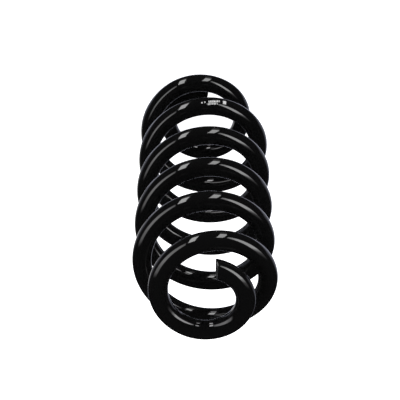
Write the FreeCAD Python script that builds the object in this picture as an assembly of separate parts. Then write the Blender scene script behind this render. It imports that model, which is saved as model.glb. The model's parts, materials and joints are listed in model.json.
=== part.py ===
"""Automotive suspension coil spring, cold-wound from one round steel wire.

The spring stands upright with its axis on Z and the lowest point of its wire at Z = 0.
Its middle coils are a straight cylinder. Each end closes in to a small end coil (a pigtail)
that sits in a spring seat. Places along the wire are given in turns, counted down from the
upper tip. The wire runs clockwise going down, seen from above, which is a right-hand winding.

One solid per sub-part: the upper end coil, the lower end coil, and the active coils between
them as quarter-turn arcs. The arcs meet face to face on the XZ and YZ planes, so each can
slide along Z past its neighbours as the spring is compressed.
"""

import FreeCAD
import Part
import math
import os

# Driving dimensions, in millimetres and turns
wire_diameter = 14.0
coil_mean_diameter = 90.0
coil_pitch = 42.7
total_turns = 6.975
upper_tip_angle = 261.0        # degrees about Z, from +X

# How each end closes in. The lead is the climb per turn at the tip. The coil widens to its
# full diameter between two places, and its climb rises to the full pitch between two others,
# all in turns from that end's own tip.
upper_end = {
    "mean_diameter": 57.2,
    "lead": 2.6,
    "widens": (0.53, 1.14),
    "rises": (0.36, 1.07),
}
lower_end = {
    "mean_diameter": 59.2,
    "lead": 1.35,
    "widens": (0.67, 1.12),
    "rises": (0.035, 1.64),
}

# Where the end coils stop and the active coils begin
active_coils = 5
arcs_per_coil = 4
upper_end_turns = upper_tip_angle / 360.0

# Sheared ends of the wire: how far each cut leans from square, and which side of the wire is
# left long, in degrees below level outward
upper_cut_lean = 14.5
lower_cut_lean = 0.0
long_side_below_outward = 17.0

# Construction
degrees_between_points = 7.5
overrun_turns = 0.014          # extra wire swept past each cut, then trimmed away
steepest_climb = 0.2           # rise over run that no part of the wire exceeds

wire_radius = wire_diameter / 2.0
coil_mean_radius = coil_mean_diameter / 2.0


def eased(x):
    """A smooth rise from 0 to 1 as x goes from 0 to 1."""
    x = min(max(x, 0.0), 1.0)
    return x * x * (3.0 - 2.0 * x)


def eased_sum(x):
    """The area under eased() from 0 to x."""
    if x <= 0.0:
        return 0.0
    if x >= 1.0:
        return x - 0.5
    return x ** 3 - x ** 4 / 2.0


def radius_lost(end, turns_from_tip):
    """How much smaller than the body the coil is, near one end."""
    start, finish = end["widens"]
    share = 1.0 - eased((turns_from_tip - start) / (finish - start))
    return (coil_mean_radius - end["mean_diameter"] / 2.0) * share


def climb_lost(end, turns_from_tip):
    """How far short of the full pitch the wire has climbed, counted from one tip."""
    start, finish = end["rises"]
    width = finish - start
    slow_turns = turns_from_tip - width * eased_sum((turns_from_tip - start) / width)
    return (coil_pitch - end["lead"]) * slow_turns


def descent(turns):
    """How far below the upper tip the centre of the wire is."""
    lower_loss = climb_lost(lower_end, total_turns) - climb_lost(lower_end, total_turns - turns)
    return coil_pitch * turns - climb_lost(upper_end, turns) - lower_loss


def centre_radius(turns):
    return (coil_mean_radius
            - radius_lost(upper_end, turns)
            - radius_lost(lower_end, total_turns - turns))


lower_tip_radius = centre_radius(total_turns)
lower_lead_angle = math.atan(lower_end["lead"] / (2.0 * math.pi * lower_tip_radius))
lower_tip_height = wire_radius / math.cos(lower_lead_angle)
upper_tip_height = lower_tip_height + descent(total_turns)


def wire_angle(turns):
    """Angle about Z, in radians."""
    return math.radians(upper_tip_angle - 360.0 * turns)


def wire_centre(turns):
    """Centre of the wire, as a point."""
    angle = wire_angle(turns)
    radius = centre_radius(turns)
    height = upper_tip_height - descent(turns)
    return FreeCAD.Vector(radius * math.cos(angle), radius * math.sin(angle), height)


def downward_direction(turns):
    """Level direction in which the wire runs as it goes down."""
    angle = wire_angle(turns)
    return FreeCAD.Vector(math.sin(angle), -math.cos(angle), 0.0)


def outward_direction(turns):
    angle = wire_angle(turns)
    return FreeCAD.Vector(math.cos(angle), math.sin(angle), 0.0)


def swept_wire(start, finish):
    """Round bar along the wire's centre line between two places."""
    first = start - overrun_turns
    last = finish + overrun_turns
    steps = max(4, math.ceil((last - first) * 360.0 / degrees_between_points))
    points = [wire_centre(first + (last - first) * step / steps) for step in range(steps + 1)]
    line = Part.BSplineCurve()
    line.interpolate(points)
    path = Part.Wire([line.toShape()])
    ring = Part.Circle(points[0], line.tangent(line.FirstParameter)[0], wire_radius)
    profile = Part.Wire([ring.toShape()])
    return path.makePipeShell([profile], True, False)


def trimmed(bar, turns, outward, lean=0.0):
    """The bar with everything past one cut taken off.

    outward is the level direction out of the bar. A lean tips the cut so that the outer,
    lower side of the wire is longer than its inner, upper side.
    """
    below = math.radians(long_side_below_outward)
    long_side = outward_direction(turns) * math.cos(below) - FreeCAD.Vector(0, 0, math.sin(below))
    normal = outward * math.cos(math.radians(lean)) - long_side * math.sin(math.radians(lean))
    overrun = overrun_turns * 2.0 * math.pi * centre_radius(turns)
    drift = overrun * (steepest_climb + math.tan(math.radians(lean)))
    cutter_radius = wire_radius * 1.05 + drift
    cutter = Part.makeCylinder(cutter_radius, wire_diameter, wire_centre(turns), normal)
    return bar.cut(cutter)


def wire_stretch(start, finish, start_lean=0.0, finish_lean=0.0):
    """One closed solid of wire between two places, cut off at both."""
    bar = swept_wire(start, finish)
    bar = trimmed(bar, start, downward_direction(start) * -1.0, start_lean)
    bar = trimmed(bar, finish, downward_direction(finish), finish_lean)
    return max(bar.Solids, key=lambda solid: solid.Volume)


def centre_line_length(start, finish):
    steps = 400
    points = [wire_centre(start + (finish - start) * step / steps) for step in range(steps + 1)]
    return sum(points[i].distanceToPoint(points[i + 1]) for i in range(steps))


def spring_parts():
    """Every sub-part, by name."""
    lower_start = upper_end_turns + active_coils
    parts = {"upper_end_coil": wire_stretch(0.0, upper_end_turns, start_lean=upper_cut_lean)}
    for coil in range(active_coils):
        for arc in range(arcs_per_coil):
            start = upper_end_turns + coil + arc / arcs_per_coil
            finish = start + 1.0 / arcs_per_coil
            parts[f"coil_{coil + 1}_arc_{arc + 1}"] = wire_stretch(start, finish)
    parts["lower_end_coil"] = wire_stretch(lower_start, total_turns, finish_lean=lower_cut_lean)
    return parts


os.makedirs("parts", exist_ok=True)
total_volume = 0.0
for name, solid in spring_parts().items():
    solid.exportStep(f"parts/{name}.step")
    total_volume += solid.Volume
    print(name, "valid" if solid.isValid() else "NOT VALID", round(solid.Volume, 1))

wire_length = centre_line_length(0.0, total_turns)
print("wire length", round(wire_length, 1), "mm")
print("volume over section times length",
      round(total_volume / (math.pi * wire_radius ** 2 * wire_length), 5))
print("tip heights", round(upper_tip_height, 3), round(lower_tip_height, 3))
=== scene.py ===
import json
import math

import bpy
import numpy as np
from mathutils import Matrix, Vector


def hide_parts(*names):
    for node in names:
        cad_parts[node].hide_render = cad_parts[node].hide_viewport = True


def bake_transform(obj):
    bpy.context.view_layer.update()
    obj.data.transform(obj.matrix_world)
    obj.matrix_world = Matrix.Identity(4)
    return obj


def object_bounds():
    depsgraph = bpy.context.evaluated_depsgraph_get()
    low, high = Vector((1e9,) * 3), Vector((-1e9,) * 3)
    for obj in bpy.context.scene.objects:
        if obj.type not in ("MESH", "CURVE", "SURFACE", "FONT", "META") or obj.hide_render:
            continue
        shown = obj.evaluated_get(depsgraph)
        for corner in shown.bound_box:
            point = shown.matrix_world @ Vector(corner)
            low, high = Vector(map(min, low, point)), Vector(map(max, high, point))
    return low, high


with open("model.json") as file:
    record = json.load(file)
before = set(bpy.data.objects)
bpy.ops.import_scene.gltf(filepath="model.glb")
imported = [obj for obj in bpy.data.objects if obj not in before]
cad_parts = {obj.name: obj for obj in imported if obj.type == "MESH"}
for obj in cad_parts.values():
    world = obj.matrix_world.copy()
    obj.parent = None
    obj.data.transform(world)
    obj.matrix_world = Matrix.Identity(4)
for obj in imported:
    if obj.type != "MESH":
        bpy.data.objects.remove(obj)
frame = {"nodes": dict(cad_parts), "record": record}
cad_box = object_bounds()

# ---------------------------------------------------------------- the wire (metres, turns)
# The wire's centre line follows the same formula as the CAD model. Places along it are in turns,
# counted down from the upper tip.
WIRE_RADIUS = 0.007
COAT = 0.00005
COIL_RADIUS = 0.045
COIL_PITCH = 0.0427
TOTAL_TURNS = 6.975
UPPER_TIP_ANGLE = 261.0        # degrees
UPPER_END = {"radius": 0.0286, "lead": 0.0026, "widens": (0.53, 1.14), "rises": (0.36, 1.07)}
LOWER_END = {"radius": 0.0296, "lead": 0.00135, "widens": (0.67, 1.12), "rises": (0.035, 1.64)}

mounts = {mount["name"]: mount for mount in frame["record"]["mounts"]}
UPPER_TIP_HEIGHT = mounts["upper_wire_end"]["pos_m"][2]


def eased(x):
    """A smooth rise from 0 to 1 as x goes from 0 to 1."""
    x = np.clip(x, 0.0, 1.0)
    return x * x * (3.0 - 2.0 * x)


def eased_sum(x):
    """The area under eased() from 0 to x."""
    y = np.clip(x, 0.0, 1.0)
    return y ** 3 - y ** 4 / 2.0 + np.maximum(x - 1.0, 0.0)


def radius_lost(end, turns_from_tip):
    """How much smaller than the body the coil is, near one end."""
    start, finish = end["widens"]
    share = 1.0 - eased((turns_from_tip - start) / (finish - start))
    return (COIL_RADIUS - end["radius"]) * share


def climb_lost(end, turns_from_tip):
    """How far short of the full pitch the wire has climbed, counted from one tip."""
    start, finish = end["rises"]
    width = finish - start
    slow_turns = turns_from_tip - width * eased_sum((turns_from_tip - start) / width)
    return (COIL_PITCH - end["lead"]) * slow_turns


def wire_angle(turns):
    return np.radians(UPPER_TIP_ANGLE - 360.0 * turns)


def wire_centre(turns):
    """Centre of the wire, one row for each place."""
    turns = np.asarray(turns, float)
    radius = (COIL_RADIUS - radius_lost(UPPER_END, turns)
              - radius_lost(LOWER_END, TOTAL_TURNS - turns))
    lower_loss = climb_lost(LOWER_END, TOTAL_TURNS) - climb_lost(LOWER_END, TOTAL_TURNS - turns)
    descent = COIL_PITCH * turns - climb_lost(UPPER_END, turns) - lower_loss
    angle = wire_angle(turns)
    height = UPPER_TIP_HEIGHT - descent
    return np.stack([radius * np.cos(angle), radius * np.sin(angle), height], -1)


MIDDLE_HEIGHT = float(wire_centre(TOTAL_TURNS / 2)[2])


def wire_surface(turns, around, radius):
    """Points at a radius from the centre line. around is 0 on the outside, 90 degrees on top."""
    turns = np.asarray(turns, float)
    step = 1e-4
    along = wire_centre(turns + step) - wire_centre(turns - step)
    along /= np.linalg.norm(along, axis=-1, keepdims=True)
    angle = wire_angle(turns)
    outward = np.stack([np.cos(angle), np.sin(angle), np.zeros_like(angle)], -1)
    outward -= (outward * along).sum(-1, keepdims=True) * along
    outward /= np.linalg.norm(outward, axis=-1, keepdims=True)
    upward = np.cross(outward, along)
    upward *= np.sign(upward[..., 2:3])
    around = np.asarray(around)[..., None]
    radius = np.asarray(radius)[..., None]
    return wire_centre(turns) + radius * (np.cos(around) * outward + np.sin(around) * upward)


# ---------------------------------------------------------------- mesh helpers
def grid_faces(rows, columns, closed):
    """Quads of a grid of vertices. A closed grid joins its last column to its first."""
    faces = []
    for row in range(rows - 1):
        for column in range(columns if closed else columns - 1):
            a = row * columns + column
            b = row * columns + (column + 1) % columns
            faces.append((a, b, b + columns, a + columns))
    return faces


def new_object(name, vertices, faces, material):
    mesh = bpy.data.meshes.new(name)
    mesh.from_pydata([tuple(vertex) for vertex in vertices], [], faces)
    mesh.materials.append(material)
    thing = bpy.data.objects.new(name, mesh)
    bpy.context.scene.collection.objects.link(thing)
    return thing


def new_piece(name, vertices, faces, material, smooth):
    """A part of the spring."""
    piece = new_object(name, vertices, faces, material)
    piece.data.validate()
    piece.data.polygons.foreach_set("use_smooth", [smooth] * len(piece.data.polygons))
    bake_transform(piece)
    return piece


# ---------------------------------------------------------------- the wire's mesh
AROUND = 48                    # vertices in each ring round the wire
RING_SPACING = 0.0019
PLACES_ROUND = np.linspace(0.0, 2 * math.pi, AROUND, endpoint=False)

# Each cut leans by an angle, lies past the tip by a little, and has a lip on its long side
END_ZONE = 0.012               # the rings lean to meet the cut over this length
LONG_SIDE = math.radians(-17.0)
UPPER_CUT = {"lean": math.radians(14.5), "past": -0.0001, "lip": 0.0002}
LOWER_CUT = {"lean": 0.0, "past": 0.0, "lip": 0.0002}
LIP_SHARPNESS = 4.0
EDGE_ROUNDING = 0.0002         # on the long side
SHORT_SIDE_ROUNDING = 0.0005   # this much more on the short side
EDGE_STEPS = 4                 # rings that round the edge, after the first
SUPPORT_GAP = 0.0003           # from the edge to the last ring of the plain wire
FACE_RINGS = (0.93, 0.86, 0.75, 0.62, 0.48, 0.34, 0.2, 0.08)    # shares of its radius
FACE_DISH = 0.0003
FACE_GRAIN = 0.00005


def sheared_end(cut):
    """How far past the tip the wire reaches, and its edge rounding, at each place round it."""
    side = np.cos(PLACES_ROUND - LONG_SIDE)
    lip = cut["lip"] * np.exp(LIP_SHARPNESS * (side - 1.0))
    reach = WIRE_RADIUS * math.tan(cut["lean"]) * side + lip + cut["past"]
    return reach, EDGE_ROUNDING + SHORT_SIDE_ROUNDING * (0.5 - 0.5 * side)


def end_rings(cut, seed):
    """Distances past the tip and radii of the rings that close one end, from the side inwards."""
    random = np.random.default_rng(seed)
    reach, rounding = sheared_end(cut)
    outer = WIRE_RADIUS + COAT
    rings = [(reach - rounding - SUPPORT_GAP, np.full(AROUND, outer))]
    for step in range(EDGE_STEPS + 1):
        turn = step / EDGE_STEPS * math.pi / 2
        rings.append((reach - rounding + rounding * math.sin(turn),
                      outer - rounding + rounding * math.cos(turn)))
    for share in FACE_RINGS:
        flat = (reach - cut["past"]) * share + cut["past"]
        dish = FACE_DISH * (1 - share ** 2)
        grain = random.normal(0.0, FACE_GRAIN, AROUND)
        rings.append((flat - dish + grain, (outer - rounding) * share))
    return rings


def wire_rings():
    """Place in turns and radius of every vertex of the wire, one row for each ring round it."""
    upper_turn = 2 * math.pi * UPPER_END["radius"]
    lower_turn = 2 * math.pi * LOWER_END["radius"]
    upper_reach, upper_rounding = sheared_end(UPPER_CUT)
    lower_reach, lower_rounding = sheared_end(LOWER_CUT)
    count = int(2 * math.pi * COIL_RADIUS * TOTAL_TURNS / RING_SPACING)
    rings = [(-past / upper_turn, radius) for past, radius in reversed(end_rings(UPPER_CUT, 1))]
    for station in np.linspace(0.0, TOTAL_TURNS, count)[1:-1]:
        place = np.full(AROUND, station)
        inside = station * upper_turn
        if inside < END_ZONE:
            place -= (upper_reach - upper_rounding) * (1 - inside / END_ZONE) / upper_turn
        inside = (TOTAL_TURNS - station) * lower_turn
        if inside < END_ZONE:
            place += (lower_reach - lower_rounding) * (1 - inside / END_ZONE) / lower_turn
        rings.append((place, np.full(AROUND, WIRE_RADIUS + COAT)))
    for past, radius in end_rings(LOWER_CUT, 2):
        rings.append((TOTAL_TURNS + past / lower_turn, radius))
    return np.array([place for place, _ in rings]), np.array([radius for _, radius in rings])


def build_wire(material, cut_material):
    """One unbroken bar from tip to tip, with its two cut faces in a material of their own."""
    turns, radii = wire_rings()
    rows = len(turns)
    points = wire_surface(turns, np.broadcast_to(PLACES_ROUND, turns.shape), radii)
    faces = grid_faces(rows, AROUND, True)
    last = (rows - 1) * AROUND
    faces.append(tuple(range(AROUND - 1, -1, -1)))
    faces.append(tuple(range(last, last + AROUND)))
    wire = new_piece("spring_wire", points.reshape(-1, 3), faces, material, True)
    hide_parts(*frame["nodes"])
    wire.data.materials.append(cut_material)
    first_side_row, last_side_row = len(FACE_RINGS) - 1, rows - len(FACE_RINGS)
    for polygon in wire.data.polygons:
        polygon_rows = [vertex // AROUND for vertex in polygon.vertices]
        if max(polygon_rows) <= first_side_row or min(polygon_rows) >= last_side_row:
            polygon.material_index = 1


# ---------------------------------------------------------------- the printed marks
# Generic marks. Each is placed in turns along the wire and degrees round it, from the print's line
PRINT_CENTRE = 4.981           # turns
PRINT_LINE = 24.0              # degrees round the wire
PRINT_SKEW = -290.0            # degrees round the wire for each turn along it
INK_HEIGHT = 0.00006
INK_CELL = (0.0012, 4)         # turns and degrees between the vertices of a mark
DOTS = [(-0.0345, 0.0036, (-4, 5)), (-0.0270, 0.0030, (-5, 4))]
BAR_ROWS = [
    {"start": -0.0165, "gap": 0.0014, "band": (-7, 6),
     "widths": (0.0026, 0.0036, 0.0018, 0.0040, 0.0022, 0.0034, 0.0022)},
    {"start": -0.0185, "gap": 0.0020, "band": (14, 22),
     "widths": (0.0046, 0.0022, 0.0022, 0.0052, 0.0024)},
]
BLOCK = (0.0198, 0.0082, (-7, 18))


def print_marks():
    """Start, width and band of every mark."""
    marks = list(DOTS)
    for row in BAR_ROWS:
        place = row["start"]
        for width in row["widths"]:
            marks.append((place, width, row["band"]))
            place += width + row["gap"]
    return marks + [BLOCK]


def grid_edge(rows, columns):
    """The vertices along the edge of a grid, in order."""
    edge = list(range(columns))
    edge += [row * columns + columns - 1 for row in range(1, rows)]
    edge += [(rows - 1) * columns + column for column in range(columns - 2, -1, -1)]
    edge += [row * columns for row in range(rows - 2, 0, -1)]
    return edge


def build_print(material):
    """Each mark is a thin closed patch of ink that follows the wire and sinks into its coat."""
    points, faces, places = [], [], []
    base = 0
    for start, width, (lowest, highest) in print_marks():
        columns = max(3, int(width / INK_CELL[0]) + 1)
        rows = max(3, int((highest - lowest) / INK_CELL[1]) + 1)
        size = rows * columns
        along = PRINT_CENTRE + start + np.linspace(0, width, columns)
        turns, lift = np.meshgrid(along, np.linspace(lowest, highest, rows))
        around = np.radians(PRINT_LINE + PRINT_SKEW * (turns - PRINT_CENTRE) + lift)
        for height in (INK_HEIGHT, -INK_HEIGHT):
            radius = np.full(turns.shape, WIRE_RADIUS + COAT + height)
            points.append(wire_surface(turns, around, radius).reshape(-1, 3))
            places.append(turns.reshape(-1))
        for quad in grid_faces(rows, columns, False):
            faces.append(tuple(base + vertex for vertex in reversed(quad)))
            faces.append(tuple(base + size + vertex for vertex in quad))
        edge = grid_edge(rows, columns)
        for a, b in zip(edge, edge[1:] + edge[:1]):
            faces.append((base + a, base + b, base + size + b, base + size + a))
        base += 2 * size
    new_piece("print_marks", np.concatenate(points), faces, material, False)


# ---------------------------------------------------------------- materials
def node_material(name):
    """A new material, and its Principled shader."""
    material = bpy.data.materials.new(name)
    material.use_nodes = True
    return material, material.node_tree.nodes["Principled BSDF"]


def add_noise(material, scale, detail=2.0):
    """Noise in the object's own space."""
    nodes = material.node_tree.nodes
    place = nodes.new("ShaderNodeTexCoord")
    noise = nodes.new("ShaderNodeTexNoise")
    noise.inputs["Scale"].default_value = scale
    noise.inputs["Detail"].default_value = detail
    material.node_tree.links.new(place.outputs["Object"], noise.inputs["Vector"])
    return noise.outputs["Fac"]


def add_bump(material, shader, height, strength, distance):
    bump = material.node_tree.nodes.new("ShaderNodeBump")
    bump.inputs["Strength"].default_value = strength
    bump.inputs["Distance"].default_value = distance
    material.node_tree.links.new(height, bump.inputs["Height"])
    material.node_tree.links.new(bump.outputs["Normal"], shader.inputs["Normal"])


def add_ramp(material, source, stops, interpolation="LINEAR"):
    """Grey levels along a value. Each stop is a position and its level."""
    node = material.node_tree.nodes.new("ShaderNodeValToRGB")
    ramp = node.color_ramp
    ramp.interpolation = interpolation
    for index, (position, level) in enumerate(stops):
        if index < 2:
            stop = ramp.elements[index]
            stop.position = position
        else:
            stop = ramp.elements.new(position)
        stop.color = (level, level, level, 1)
    material.node_tree.links.new(source, node.inputs["Fac"])
    return node.outputs["Color"]


def gloss_black():
    """Black powder coat: deep gloss with faint orange peel and patches of haze."""
    material, shader = node_material("gloss_black_coat")
    peel = add_noise(material, 420.0)
    add_bump(material, shader, peel, strength=0.04, distance=0.0003)
    haze = add_noise(material, 60.0, detail=4.0)
    rough = material.node_tree.nodes.new("ShaderNodeMapRange")
    rough.inputs["To Min"].default_value = 0.03
    rough.inputs["To Max"].default_value = 0.07
    material.node_tree.links.new(haze, rough.inputs["Value"])
    material.node_tree.links.new(rough.outputs["Result"], shader.inputs["Roughness"])
    shader.inputs["Base Color"].default_value = (0.0035, 0.0035, 0.0036, 1)
    shader.inputs["IOR"].default_value = 1.5
    return material


def cut_face_coat():
    """The same coat over the torn steel of a sheared end: rougher and duller."""
    material, shader = node_material("cut_face_coat")
    tears = add_noise(material, 900.0, detail=3.0)
    add_bump(material, shader, tears, strength=0.5, distance=0.0004)
    shader.inputs["Base Color"].default_value = (0.006, 0.006, 0.006, 1)
    shader.inputs["Roughness"].default_value = 0.5
    shader.inputs["Specular IOR Level"].default_value = 0.2
    return material


def white_ink():
    """Thin white ink that lets some of the black through."""
    material, shader = node_material("white_ink")
    wear = add_noise(material, 1500.0)
    colour = add_ramp(material, wear, [(0.3, 0.25), (0.5, 0.52)])
    material.node_tree.links.new(colour, shader.inputs["Base Color"])
    shader.inputs["Roughness"].default_value = 0.45
    return material


def pale_floor():
    """Matt white that is lit evenly from within, as a cut-out white ground."""
    material, shader = node_material("pale_floor")
    shader.inputs["Base Color"].default_value = (0.8, 0.8, 0.8, 1)
    shader.inputs["Roughness"].default_value = 0.9
    shader.inputs["Specular IOR Level"].default_value = 0.0
    shader.inputs["Emission Color"].default_value = (1, 1, 1, 1)
    shader.inputs["Emission Strength"].default_value = 1.0
    return material


# ---------------------------------------------------------------- camera
CAMERA_DOWN = math.radians(35.298)
CAMERA_SIDE = math.radians(5.601)
CAMERA_ROLL = math.radians(9.249)
CAMERA_DISTANCE = 0.9528
FOCAL_LENGTH = 111.12          # millimetres, as is the sensor's width
SENSOR_WIDTH = 36.0
SHIFT = (-0.00971, -0.00339)


def build_camera():
    """Looks down on the upper end from the -Y side, with the picture's top towards the lower end."""
    side, down, roll = CAMERA_SIDE, CAMERA_DOWN, CAMERA_ROLL
    forward = Vector((-math.sin(side) * math.cos(down), math.sin(down),
                      -math.cos(side) * math.cos(down)))
    level_right = Vector((-math.cos(side), 0.0, math.sin(side)))
    level_up = level_right.cross(forward)
    right = math.cos(roll) * level_right + math.sin(roll) * level_up
    up = math.cos(roll) * level_up - math.sin(roll) * level_right
    data = bpy.data.cameras.new("camera")
    data.lens = FOCAL_LENGTH
    data.sensor_width = SENSOR_WIDTH
    data.shift_x, data.shift_y = SHIFT
    camera = bpy.data.objects.new("camera", data)
    bpy.context.scene.collection.objects.link(camera)
    turn = Matrix((right, up, -forward)).transposed().to_4x4()
    place = Vector((0, 0, MIDDLE_HEIGHT)) - forward * CAMERA_DISTANCE
    camera.matrix_world = Matrix.Translation(place) @ turn
    bpy.context.scene.camera = camera


# ---------------------------------------------------------------- studio
# Places in the light set are in metres from the middle of the spring. The whole set is then
# turned a little about the spring's axis.
STUDIO_TURN = math.radians(2.1)
WORLD_STRENGTH = 1.15
FLOOR_REACH = 12.0
FLOOR_GAP = 0.0002


def card_material(name, strength, profile_u, profile_v, colour):
    """Light that fades along the card's two sides by two profiles."""
    material = bpy.data.materials.new(name)
    material.use_nodes = True
    nodes, links = material.node_tree.nodes, material.node_tree.links
    nodes.clear()
    place = nodes.new("ShaderNodeTexCoord")
    split = nodes.new("ShaderNodeSeparateXYZ")
    links.new(place.outputs["UV"], split.inputs["Vector"])
    product = nodes.new("ShaderNodeMath")
    product.operation = "MULTIPLY"
    for index, (side, stops) in enumerate((("X", profile_u), ("Y", profile_v))):
        links.new(add_ramp(material, split.outputs[side], stops, "EASE"), product.inputs[index])
    scale = nodes.new("ShaderNodeMath")
    scale.operation = "MULTIPLY"
    scale.inputs[1].default_value = strength
    links.new(product.outputs["Value"], scale.inputs[0])
    glow = nodes.new("ShaderNodeEmission")
    glow.inputs["Color"].default_value = (*colour, 1)
    links.new(scale.outputs["Value"], glow.inputs["Strength"])
    surface = nodes.new("ShaderNodeOutputMaterial")
    links.new(glow.outputs["Emission"], surface.inputs["Surface"])
    return material


def light_card(name, corners, strength, profile_u, profile_v, colour=(1.0, 1.0, 1.0)):
    """A softbox that only reflections see."""
    turn = Matrix.Rotation(STUDIO_TURN, 3, "Z")
    middle = Vector((0, 0, MIDDLE_HEIGHT))
    vertices = [middle + turn @ Vector(corner) for corner in corners]
    material = card_material(name, strength, profile_u, profile_v, colour)
    card = new_object(name, vertices, [(0, 1, 2, 3)], material)
    layer = card.data.uv_layers.new(name="card")
    for loop, place in zip(layer.data, ((0, 0), (1, 0), (1, 1), (0, 1))):
        loop.uv = place
    card.visible_camera = False
    card.visible_diffuse = False
    card.visible_shadow = False


def profile(low, high, stops):
    """Ramp stops for levels given at places along a card that runs from low to high."""
    return [((place - low) / (high - low), level) for place, level in stops]


def wall_card(name, y, strength, x_levels, z_levels):
    """A card that faces along Y. Each list of levels runs from one side of the card to the other."""
    x0, x1, z0, z1 = x_levels[0][0], x_levels[-1][0], z_levels[0][0], z_levels[-1][0]
    light_card(name, [(x0, y, z0), (x1, y, z0), (x1, y, z1), (x0, y, z1)], strength,
               profile(x0, x1, x_levels), profile(z0, z1, z_levels))


def side_card(name, x, strength, y_levels, z_levels):
    """A card that faces along X."""
    y0, y1, z0, z1 = y_levels[0][0], y_levels[-1][0], z_levels[0][0], z_levels[-1][0]
    light_card(name, [(x, y0, z0), (x, y1, z0), (x, y1, z1), (x, y0, z1)], strength,
               profile(y0, y1, y_levels), profile(z0, z1, z_levels))


def level_card(name, z, strength, x_levels, y_levels, colour):
    """A card that lies level."""
    x0, x1, y0, y1 = x_levels[0][0], x_levels[-1][0], y_levels[0][0], y_levels[-1][0]
    light_card(name, [(x0, y0, z), (x1, y0, z), (x1, y1, z), (x0, y1, z)], strength,
               profile(x0, x1, x_levels), profile(y0, y1, y_levels), colour)


def slanted_card(name, centre, half_width, half_height, strength, levels):
    """A card that faces the middle of the spring."""
    centre = Vector(centre)
    towards = -centre.normalized()
    across = towards.cross(Vector((0, 0, 1))).normalized() * half_width
    rise = across.normalized().cross(towards) * half_height
    light_card(name, [centre - across - rise, centre + across - rise,
                      centre + across + rise, centre - across + rise], strength, levels, levels)


def build_reflections():
    """The light set the coating mirrors: two tall strips, two side panels and pale cards below."""
    wall_card("strip_left", y=-0.765, strength=6.6,
              x_levels=[(-0.274, 1.0), (-0.1315, 1.0)],
              z_levels=[(-0.90, 0.0), (-0.60, 0.07), (-0.26, 0.10), (-0.24, 1.0), (0.33, 1.0),
                        (0.35, 0.5)])
    wall_card("strip_right", y=-0.765, strength=7.8,
              x_levels=[(0.299, 1.0), (0.477, 1.0)],
              z_levels=[(-0.90, 0.0), (-0.60, 0.05), (-0.36, 0.06), (-0.34, 1.0), (0.33, 1.0),
                        (0.35, 0.5)])
    side_card("panel_left", x=-0.35, strength=6.4,
              y_levels=[(-0.75, 0.45), (-0.55, 0.7), (-0.42, 1.0), (-0.12, 1.0), (-0.09, 0.5),
                        (-0.03, 0.1), (0.05, 0.0)],
              z_levels=[(0.16, 0.0), (0.19, 1.0), (0.33, 1.0), (0.36, 0.0)])
    side_card("panel_right", x=0.30, strength=3.2,
              y_levels=[(-0.43, 0.6), (-0.30, 0.9), (-0.10, 1.0), (0.0, 0.6), (0.07, 0.0)],
              z_levels=[(0.13, 0.0), (0.17, 1.0), (0.31, 1.0), (0.35, 0.0)])
    level_card("backdrop", z=-0.62, strength=0.8,
               x_levels=[(-2.4, 0.0), (-1.6, 0.3), (-1.1, 0.45), (-0.6, 0.8), (-0.3, 0.9),
                         (0.0, 1.0), (0.6, 1.0), (1.0, 0.5), (1.6, 0.25), (2.4, 0.0)],
               y_levels=[(-0.10, 0.0), (0.0, 1.0), (0.5, 1.0), (0.9, 0.0)],
               colour=(0.92, 0.95, 1.12))
    slanted_card("low_side_card", centre=(0.31, 0.31, -0.41), half_width=0.17, half_height=0.15,
                 strength=1.2, levels=[(0.0, 0.0), (0.3, 1.0), (0.7, 1.0), (1.0, 0.0)])


def build_set():
    """White surroundings and a white floor. Neither shows in the coating's reflections."""
    scene = bpy.context.scene
    scene.view_settings.view_transform = "Standard"
    world = bpy.data.worlds.new("studio")
    scene.world = world
    world.use_nodes = True
    background = world.node_tree.nodes["Background"]
    background.inputs["Color"].default_value = (1, 1, 1, 1)
    background.inputs["Strength"].default_value = WORLD_STRENGTH
    world.cycles_visibility.glossy = False
    level = cad_box[0][2] - FLOOR_GAP
    corners = [(-1, -1), (1, -1), (1, 1), (-1, 1)]
    vertices = [(x * FLOOR_REACH, y * FLOOR_REACH, level) for x, y in corners]
    floor = new_object("floor", vertices, [(0, 1, 2, 3)], pale_floor())
    floor.visible_glossy = False


# ---------------------------------------------------------------- scene
build_camera()
build_set()
build_reflections()
build_wire(gloss_black(), cut_face_coat())
build_print(white_ink())
